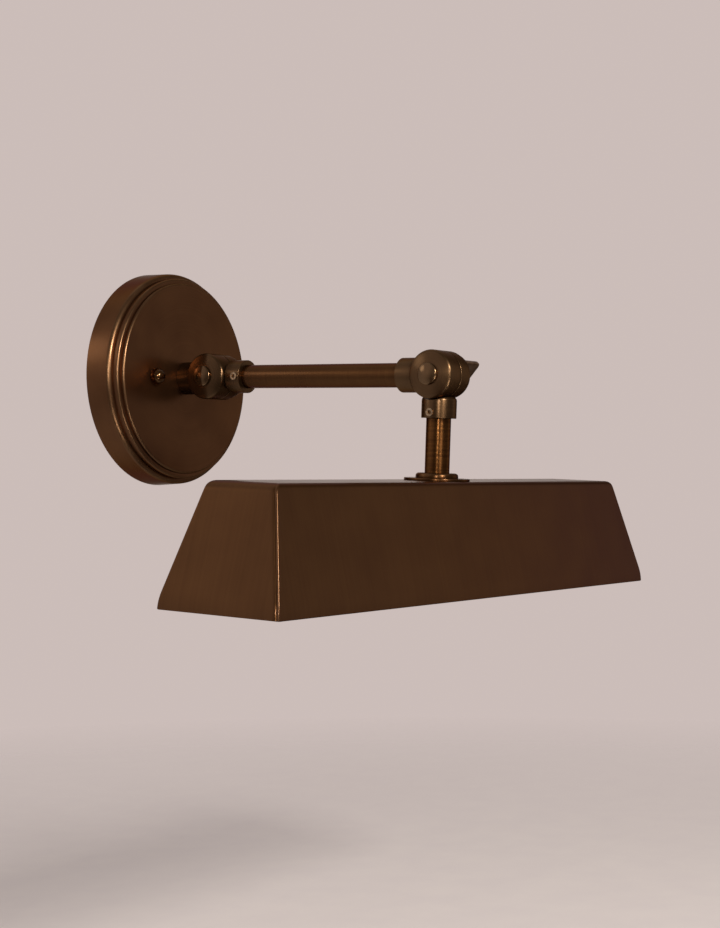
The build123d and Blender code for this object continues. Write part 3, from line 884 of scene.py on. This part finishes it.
def nipple(name, body, place, start, end, thread_start, thread_end, node):
    """A threaded tube along the Z axis of a place."""
    bm = bmesh.new()
    core = nipple_r - thread_depth
    points = outline(
        (start, nipple_bore_r), (start, core, fine_round), (end, core, fine_round), (end, nipple_bore_r))
    turned(bm, points, place, small_turn_steps)
    length = thread_end - thread_start
    wound = grown(threads, zinc_steel, Radius=core * MM, Length=length * MM, Turns=length / thread_pitch,
                  Ridge=thread_depth * MM)
    gather(bm, wound, place @ moved(0, 0, thread_start))
    piece_from(name, bm, body, "zinc_steel", zinc_steel, node)


def terminal_screws():
    low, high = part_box("terminal_screws")
    radius = pole_head_r * MM
    poles = []
    for share in (0.0, 0.5, 1.0):
        x = low.x + radius + (high.x - low.x - 2 * radius) * share
        spot = (x, low.y + pole_head_t / 2 * MM, (low.z + high.z) / 2)
        poles.append(Matrix.Translation(spot) @ away)
    mesh = grown(slotted_screws, bright_brass, screw_points(*poles), Head_Radius=radius,
                 Head_Height=pole_head_t * MM, Drive_Width=pole_slot * MM, Drive_Depth=pole_slot_depth * MM)
    settle("terminal_screw_heads", mesh, "wall_base", "bright_brass", bright_brass, "terminal_screws")


# Swivels

def crown_at(radius):
    """How far the crowned face of a front half stands out at a radius."""
    return math.sqrt(crown_r ** 2 - radius ** 2) - math.sqrt(crown_r ** 2 - swivel_r ** 2)


def front_disc_outline():
    rim = swivel_r - crown_inset
    corners = [(front_face, 0), (front_face, swivel_r, seat_round), (front_disc_t, swivel_r, front_rim_round)]
    for step in range(crown_steps + 1):
        radius = rim - (rim - pad_r) * step / crown_steps
        corners.append((front_disc_t + crown_at(radius), radius))
    corners.append((front_disc_t + crown_at(pad_r), 0))
    return outline(*corners)


def rear_disc_outline():
    return outline(
        (rear_face, 0),
        (rear_face, swivel_r, seat_round),
        (rear_disc_t, swivel_r, rear_rim_round),
        (rear_disc_t, 0),
    )


def collar_outline(end, socket_r):
    floor = end - collar_socket
    return outline(
        (collar_start, 0),
        (collar_start, collar_r / 3),
        (collar_start, collar_r * 2 / 3),
        (collar_start, collar_r, collar_round),
        (end, collar_r, end_round),
        (end, socket_r),
        (floor, socket_r),
        (floor, 0),
    )


def clear_beside(verts, place, inner, outer):
    """Cuts a collar back round beside its own disc, so that it clears the other disc and the washer."""
    back = place.inverted()
    for vert in verts:
        spot = back @ vert.co / MM
        room = math.sqrt(max(collar_room_r ** 2 - spot.z ** 2, 0))
        if -spot.y < room and not inner < spot.x < outer:
            spot.y = -room
            vert.co = place @ (spot * MM)


def swivel(name, body, place, front, end, socket_r, node):
    """One cast half of a swivel, with its collar along -Y of the place."""
    bm = bmesh.new()
    own = place @ half_turn if front else place
    disc = front_disc_outline() if front else rear_disc_outline()
    inner, outer = (front_face, front_disc_t) if front else (rear_face, rear_disc_t)
    turned(bm, disc, own @ out_rear)
    collar = turned(bm, collar_outline(end, socket_r + fit), own @ away)
    clear_beside(collar, own, inner, outer)
    piece_from(name, bm, body, "aged_bronze", turned_bronze, node)


def swivel_bolt(name, body, place, node):
    bm = bmesh.new()
    seat = front_disc_t + crown_at(pad_r)
    edge = seat + button_side
    corners = [(-bolt_end, 0), (-bolt_end, bolt_r, rim_round), (seat, bolt_r), (seat, button_r, fine_round)]
    corners.append((edge, button_r, button_round))
    for step in range(1, dome_steps + 1):
        radius = (button_r - dome_inset) * (1 - step / dome_steps)
        corners.append((edge + (button_t - button_side) * (1 - (radius / button_r) ** 2), radius))
    turned(bm, outline(*corners), place @ out_front, small_turn_steps)
    piece_from(name, bm, body, "aged_bronze", bolt_bronze, node)


def cup_washer(name, body, place, node):
    bm = bmesh.new()
    bore = bolt_r + fit
    points = outline(
        (cup_start, bore),
        (cup_start, cup_r, seat_round),
        (cup_end, cup_r, cup_round),
        (cup_end, bore),
    )
    turned(bm, points, place @ out_rear)
    piece_from(name, bm, body, "aged_bronze", turned_bronze, node)


def set_screw_place(place, end):
    """The middle of the head of a set screw on the -X side of a collar."""
    middle = collar_r + set_head_rise - set_head_t / 2
    return place @ moved(0, set_screw_edge - end, 0) @ out_front @ moved(0, 0, middle)


def set_screws(name, body, places, *nodes):
    mesh = grown(socket_screws, screw_brass, screw_points(*places), Head_Radius=set_head_r * MM,
                 Head_Height=set_head_t * MM, Drive_Width=set_socket_across * MM,
                 Drive_Depth=set_socket_depth * MM)
    settle(name, mesh, body, "bright_brass", screw_brass, *nodes)


# Arm and stem

def tube(name, body, place, start, end, slot, finish, node):
    bm = bmesh.new()
    points = outline(
        (start, tube_bore_r), (start, tube_r, end_round), (end, tube_r, end_round), (end, tube_bore_r))
    turned(bm, points, place)
    piece_from(name, bm, body, slot, finish, node)


def stem_ring():
    bm = bmesh.new()
    bore = tube_r + fit
    top = stem_end - ring_t
    points = outline((stem_end, bore), (stem_end, ring_r, fine_round), (top, ring_r, ring_round), (top, bore))
    turned(bm, points, at_shade @ down)
    piece_from("stem_foot_ring", bm, "shade", "aged_bronze", tube_bronze, "stem_ring")


def stem_flange():
    bm = bmesh.new()
    bore = nipple_r + fit
    foot = stem_end + flange_t
    points = outline(
        (foot, bore), (foot, flange_r, end_round), (stem_end, flange_r, rim_round), (stem_end, bore))
    turned(bm, points, at_shade @ down)
    piece_from("stem_foot_flange", bm, "shade", "aged_bronze", tube_bronze, "stem_flange")


# Shade

def shade_slope(top, bottom):
    """How far a side runs out for each length down, above the hem."""
    eased = shade_hem * (1 + shade_hem_slope) / 2
    return (bottom - top) / 2 / (shade_height - shade_hem + eased)


def shade_half(top, bottom, depth):
    """Half of an outside size of the shade at a depth below its top; the hem eases towards upright."""
    into_hem = max(depth - shade_height + shade_hem, 0)
    held_back = (1 - shade_hem_slope) / 2 * into_hem ** 2 / shade_hem
    return top / 2 + shade_slope(top, bottom) * (depth - held_back)


def skin_half(top, bottom, fold_r, inset, depth):
    """Half of a size of one skin of the shade at a depth, on the top's fold or the side below it."""
    slope = math.atan(shade_slope(top, bottom))
    rise = fold_r - depth
    if rise <= (fold_r - inset) * math.sin(slope):
        return shade_half(top, bottom, depth) - inset / math.cos(slope)
    centre = top / 2 + fold_r * math.tan(slope) - fold_r / math.cos(slope)
    return centre + math.sqrt(max((fold_r - inset) ** 2 - rise ** 2, 0))


def shade_level(depth, inset, seam):
    half_length = skin_half(shade_top_length, shade_bottom_length, shade_end_fold_r, inset, depth)
    half_width = skin_half(shade_top_width, shade_bottom_width, shade_fold_r, inset, depth)
    return -depth, shade_ring(half_length, half_width, seam)


def shade_levels(inset):
    """Levels of one skin of the shade from its hem up to its folded top, taken in by an inset."""
    depths = [shade_height - shade_edge_r]
    depths += [shade_height - shade_hem * step / hem_steps for step in range(1, hem_steps + 1)]
    for step in range(fold_steps + 1):
        angle = math.pi / 2 * step / fold_steps
        depths.append(shade_end_fold_r - (shade_end_fold_r - inset) * math.sin(angle))
    levels = []
    for depth in depths:
        seam = 0 if inset else min(depth / shade_end_fold_r, 1)
        levels.append(shade_level(depth, inset, seam))
    return levels


def shade():
    bm = bmesh.new()
    outer = shade_levels(0)
    inner = shade_levels(shade_sheet)
    edge = (-shade_height, shade_level(shade_height, shade_edge_r, 0)[1])
    inner_edge = (-shade_height, shade_level(shade_height, shade_sheet - shade_edge_r, 0)[1])
    levels = list(reversed(outer)) + [edge, inner_edge] + inner
    stacked(bm, levels, at_shade @ moved(0, 0, -shade_top))
    piece_from("trough_shade", bm, "shade", "aged_bronze", shade_bronze,
               "shade_top", "shade_front", "shade_rear", "shade_left_end", "shade_right_end")


# Lamps

def lamp_place(side):
    return at_shade @ moved(0, 0, -lamp_axis) @ (out_rear if side == "right" else out_front)


def lampholder(side):
    bm = bmesh.new()
    points = outline(
        (holder_start, 0),
        (holder_start, holder_base_r, holder_round),
        (holder_base_end, holder_base_r, holder_round),
        (holder_base_end, holder_r),
        (holder_end, holder_r, holder_round),
        (holder_end, holder_bore_r),
        (holder_floor, holder_bore_r),
        (holder_floor, 0),
    )
    turned(bm, points, lamp_place(side), small_turn_steps)
    ribs = grown(ridges, lampholder_black, Count=rib_count, Radius=(holder_r - rib_sink) * MM,
                 Ridge=in_metres(*rib_ridge))
    gather(bm, ribs, lamp_place(side) @ moved(0, 0, (holder_base_end + holder_end) / 2))
    piece_from("ribbed_lampholder_" + side, bm, "shade", "lampholder_black", lampholder_black,
               "lampholder_" + side)


def lamp_glass(side):
    bm = bmesh.new()
    points = outline(
        (glass_start, 0),
        (glass_start, glass_throat_r),
        (glass_start + glass_neck, glass_r, glass_neck_round),
        (glass_end, glass_r, glass_end_round),
        (glass_end, 0),
    )
    turned(bm, points, lamp_place(side), small_turn_steps)
    piece_from("opal_lamp_" + side, bm, "shade", "opal_glass", opal_glass, "lamp_glass_" + side)


def lampholder_screws():
    seat = moved(0, 0, holder_head_t / 2 - screw_seat)
    places = [lamp_place(side) @ seat for side in ("left", "right")]
    mesh = grown(slotted_screws, zinc_steel, screw_points(*places), Head_Radius=holder_head_r * MM,
                 Head_Height=holder_head_t * MM, Drive_Width=holder_slot * MM,
                 Drive_Depth=holder_slot_depth * MM)
    settle("lampholder_screw_heads", mesh, "shade", "zinc_steel", zinc_steel, "lampholder_screws")


def make_wall_pieces():
    back_plate()
    ball_nuts()
    plate_studs()
    nipple("threaded_plate_nipple", "wall_base", away, nipple_inner, nipple_outer, nipple_inner + thread_gap,
           nipple_inner + plate_thread_end, "plate_nipple")
    terminal_screws()
    swivel("wall_swivel_half", "wall_base", at_wall, True, wall_collar_end, nipple_r, "wall_swivel")
    swivel_bolt("wall_domed_bolt", "wall_base", at_wall, "wall_swivel_bolt")
    cup_washer("wall_stepped_washer", "wall_base", at_wall, "wall_cup_washer")
    far_screw = set_screw_place(at_wall @ half_turn, wall_collar_end)
    set_screws("wall_set_screw", "wall_base", [far_screw], "wall_swivel_screw")
    smoothed("plate_nipple_nut", "plate_lock_nut", "wall_base", "zinc_steel", zinc_steel)
    smoothed("plate_nipple_washer", "plate_lock_washer", "wall_base", "zinc_steel", zinc_steel)
    smoothed("ground_screw", "green_ground_screw", "wall_base", "ground_green", ground_green)
    smoothed("plate_lead", "plate_lead_sheath", "wall_base", "lead_sheath", lead_sheath)
    smoothed("crossbar", "slotted_crossbar", "wall_base", "zinc_steel", zinc_steel)
    smoothed("terminal_block", "white_terminal_block", "wall_base", "terminal_white", terminal_white)
    smoothed("wall_key", "wall_thumb_key", "wall_key", "aged_bronze", key_bronze)
    dress(fibre, "wall_friction_washer")


def make_arm_pieces():
    far_end = at_arm_end @ half_turn
    swivel("arm_inner_half", "arm", at_arm, False, collar_end, tube_r, "arm_inner_swivel")
    swivel("arm_outer_half", "arm", at_arm_end, True, collar_end, tube_r, "arm_outer_swivel")
    screws = [set_screw_place(at_arm, collar_end), set_screw_place(far_end, collar_end)]
    set_screws("arm_set_screws", "arm", screws, "arm_inner_screw", "arm_outer_screw")
    tube("arm_turned_tube", "arm", at_arm @ away, tube_start, arm_span - tube_start,
         "aged_bronze", tube_bronze, "arm_tube")
    swivel_bolt("shade_domed_bolt", "arm", at_arm_end, "shade_swivel_bolt")
    cup_washer("shade_stepped_washer", "arm", at_arm_end, "shade_cup_washer")
    smoothed("shade_key", "shade_thumb_key", "shade_key", "aged_bronze", key_bronze)
    dress(fibre, "shade_friction_washer")
    dress(lead_sheath, "arm_lead")


def make_shade_pieces():
    hung = at_shade @ away
    swivel("shade_swivel_half", "shade", hung, False, collar_end, tube_r, "shade_swivel")
    set_screws("shade_set_screw", "shade", [set_screw_place(hung, collar_end)], "shade_swivel_screw")
    tube("turned_stem", "shade", at_shade @ down, tube_start, stem_end, "stem_brass", stem_gold, "stem")
    stem_ring()
    stem_flange()
    shade()
    nipple("threaded_stem_nipple", "shade", at_shade @ down, stem_nipple_top, stem_nipple_end, stem_nut_end,
           stem_nipple_end - thread_gap, "stem_nipple")
    for side in ("left", "right"):
        lampholder(side)
        lamp_glass(side)
        dress(bright_brass, "lamp_cap_" + side)
    lampholder_screws()
    smoothed("stem_nipple_nut", "stem_lock_nut", "shade", "zinc_steel", zinc_steel)
    smoothed("shade_washer", "stem_lock_washer", "shade", "zinc_steel", zinc_steel)
    smoothed("lamp_bracket", "bent_lamp_bracket", "shade", "zinc_steel", zinc_steel)
    smoothed("stem_lead", "stem_lead_sheath", "shade", "lead_sheath", lead_sheath)
    smoothed("lampholder_leads", "lampholder_cores", "shade", "lead_sheath", lead_sheath)


# Stage

backdrop_colour = (0.60, 0.51, 0.485, 1)
dark_room = (0.115, 0.098, 0.092, 1)
fill_light = (0.44, 0.405, 0.395, 1)
# Each patch: its direction, the cosines where it starts and is full, and its colour
bright_patches = [
    ((0.86, -0.50, 0.08), 0.90, 1.0, (0.44, 0.41, 0.43, 1)),
    ((-0.71, 0.61, 0.35), 0.72, 0.95, (0.53, 0.47, 0.46, 1)),
    ((0.35, 0.60, 0.72), 0.60, 0.95, (0.58, 0.56, 0.60, 1)),
    ((-0.10, 0.70, -0.70), 0.45, 0.80, (0.46, 0.43, 0.43, 1)),
    ((0.775, 0.63, 0.02), 0.93, 0.99, (0.95, 0.87, 0.84, 1)),
    ((-0.46, -0.745, -0.49), 0.970, 0.99, (7.0, 6.6, 6.0, 1)),
    ((-0.52, -0.85, 0.05), 0.98, 0.995, (1.2, 1.1, 1.0, 1)),
]
floor_r = 1.3
floor_place = (0.0, -0.12, -0.34)
floor_dark = (0.87, 0.80, 0.78, 1)
floor_light = (0.90, 0.83, 0.80, 1)
warm_white = (1.0, 0.95, 0.88)
glow_colour = (1.0, 0.93, 0.80)
# Each lamp: its name, place, size in metres, power in watts and colour
lamps = [
    ("key_softbox", (-0.52, -1.27, 0.52), 0.26, 13.0, warm_white),
    ("side_softbox", (-1.00, -0.75, 0.15), 0.14, 3.0, warm_white),
    ("wall_glow", (-0.46, 0.40, 0.27), 0.26, 0.25, glow_colour),
]
lamp_target = Vector((0.0, -0.12, -0.04))
# The camera fitted to the photograph: metres, radians, and millimetres for film and lens
camera_place = Vector((-0.78963, -0.66219, -0.06288))
camera_yaw = 0.9837
camera_pitch = 0.0138
camera_roll = -0.0115
film_width = 36.0
lens_length = 70.27


def patch(tree, direction, towards, edge, full):
    """The share of a soft bright patch of the surroundings, 1 in its middle."""
    facing = node_of(tree, "ShaderNodeVectorMath", operation="DOT_PRODUCT")
    put(tree, facing.inputs[0], direction)
    put(tree, facing.inputs[1], towards)
    return between(tree, facing.outputs["Value"], edge, full)


def studio_world():
    """A pale backdrop for the camera; shiny surfaces see a dim room with soft bright patches."""
    world = bpy.data.worlds.new("studio")
    bpy.context.scene.world = world
    world.use_nodes = True
    tree = world.node_tree
    tree.nodes.clear()
    path = node_of(tree, "ShaderNodeLightPath")
    direction = node_of(tree, "ShaderNodeTexCoord").outputs["Generated"]
    in_metal = dark_room
    for towards, edge, full, brightness in bright_patches:
        in_metal = blended(tree, patch(tree, direction, towards, edge, full), in_metal, brightness)
    colour = blended(tree, path.outputs["Is Camera Ray"], in_metal, backdrop_colour)
    shiny = combined(tree, "MAXIMUM", path.outputs["Is Glossy Ray"], path.outputs["Is Transmission Ray"])
    visible = combined(tree, "MAXIMUM", path.outputs["Is Camera Ray"], shiny)
    fill = feed(tree, node_of(tree, "ShaderNodeBackground"), Color=fill_light, Strength=1.0)
    pale = feed(tree, node_of(tree, "ShaderNodeBackground"), Color=colour, Strength=1.0)
    choose = node_of(tree, "ShaderNodeMixShader")
    for index, value in enumerate((visible, fill.outputs[0], pale.outputs[0])):
        put(tree, choose.inputs[index], value)
    feed(tree, node_of(tree, "ShaderNodeOutputWorld"), Surface=choose.outputs[0])


def floor_finish():
    """Pale matt floor that fades into the backdrop."""
    finish, tree, shader = start_finish("pale_floor")
    spot = object_spot(tree)
    length = node_of(tree, "ShaderNodeVectorMath", operation="LENGTH")
    tree.links.new(spot, length.inputs[0])
    speckle = between(tree, cloud(tree, spot, scale=30.0), low=0.3, high=0.7)
    colour = blended(tree, speckle, floor_dark, floor_light)
    fade = between(tree, length.outputs["Value"], low=0.45, high=1.25, to_low=1.0, to_high=0.0)
    feed(tree, shader, Base_Color=colour, Roughness=0.9, Alpha=fade)
    return finish


def floor():
    bm = bmesh.new()
    bmesh.ops.create_circle(bm, cap_ends=True, radius=floor_r, segments=turn_steps)
    mesh = bpy.data.meshes.new("floor")
    bm.to_mesh(mesh)
    bm.free()
    mesh.materials.append(floor_finish())
    plane = bpy.data.objects.new("floor", mesh)
    plane.location = floor_place
    plane.visible_glossy = False
    show(plane)


def softbox(name, place, size, watts, colour):
    data = bpy.data.lights.new(name, "AREA")
    data.shape = "DISK"
    data.size = size
    data.energy = watts
    data.color = colour
    lamp = bpy.data.objects.new(name, data)
    lamp.location = place
    lamp.rotation_euler = (lamp_target - Vector(place)).to_track_quat("-Z", "Y").to_euler()
    lamp.visible_camera = False
    show(lamp)


def photo_camera():
    """A camera at the angle and distance of the photograph."""
    across = math.cos(camera_pitch)
    ahead = Vector((across * math.sin(camera_yaw), across * math.cos(camera_yaw), math.sin(camera_pitch)))
    level = Vector((math.cos(camera_yaw), -math.sin(camera_yaw), 0.0))
    upright = level.cross(ahead)
    right = level * math.cos(camera_roll) + upright * math.sin(camera_roll)
    up = upright * math.cos(camera_roll) - level * math.sin(camera_roll)
    data = bpy.data.cameras.new("photo_camera")
    data.sensor_width = film_width
    data.lens = lens_length
    data.clip_start = 0.01
    camera = bpy.data.objects.new("photo_camera", data)
    camera.matrix_world = Matrix((
        (right.x, up.x, -ahead.x, camera_place.x),
        (right.y, up.y, -ahead.y, camera_place.y),
        (right.z, up.z, -ahead.z, camera_place.z),
        (0.0, 0.0, 0.0, 1.0),
    ))
    show(camera)
    bpy.context.scene.camera = camera


bpy.context.scene.view_settings.view_transform = "Standard"
make_wall_pieces()
make_arm_pieces()
make_shade_pieces()
studio_world()
floor()
for lamp in lamps:
    softbox(*lamp)
photo_camera()
bpy.context.view_layer.update()
